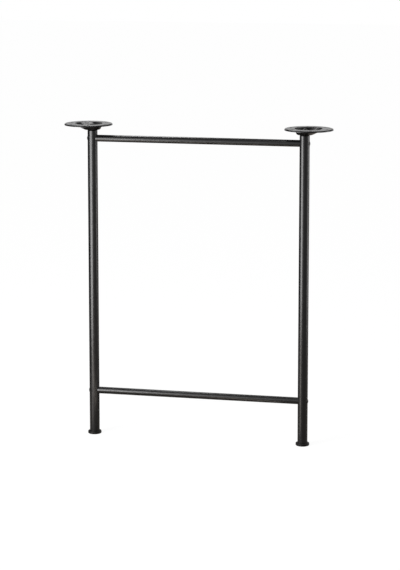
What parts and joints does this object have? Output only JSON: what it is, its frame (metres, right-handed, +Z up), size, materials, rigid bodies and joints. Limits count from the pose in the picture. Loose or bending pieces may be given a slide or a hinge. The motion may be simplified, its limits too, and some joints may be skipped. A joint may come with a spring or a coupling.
{
  "type": "desk leg",
  "caption": "Tubular steel desk leg frame: round posts joined by round rails, dished plates that screw under a desk top, and plastic glides on the floor.",
  "frame": {"origin": "on the floor, midway between the two foot glides", "axes": "+X along the rails from the left post to the right post, +Y to the back, +Z up to the mounting plates"},
  "size_m": [0.596, 0.106, 0.7],
  "materials": {
    "black_coat": "satin black powder coat on steel",
    "black_steel": "blackened steel fasteners",
    "zinc_steel": "zinc plated steel, hidden in the rails",
    "black_plastic": "moulded black plastic with a fine grain"
  },
  "bodies": {
    "root": {"left_post": "black_coat", "left_mounting_plate": "black_coat", "left_stud_plug": "black_steel", "left_plate_washer": "black_steel", "left_plate_nut": "black_steel", "left_foot_glide": "black_plastic", "right_post": "black_coat", "right_mounting_plate": "black_coat", "right_stud_plug": "black_steel", "right_plate_washer": "black_steel", "right_plate_nut": "black_steel", "right_foot_glide": "black_plastic", "upper_rail": "black_coat", "upper_left_rail_insert": "zinc_steel", "upper_left_rail_bolt": "black_steel", "upper_right_rail_insert": "zinc_steel", "upper_right_rail_bolt": "black_steel", "lower_rail": "black_coat", "lower_left_rail_insert": "zinc_steel", "lower_left_rail_bolt": "black_steel", "lower_right_rail_insert": "zinc_steel", "lower_right_rail_bolt": "black_steel"}
  },
  "joints": []
}
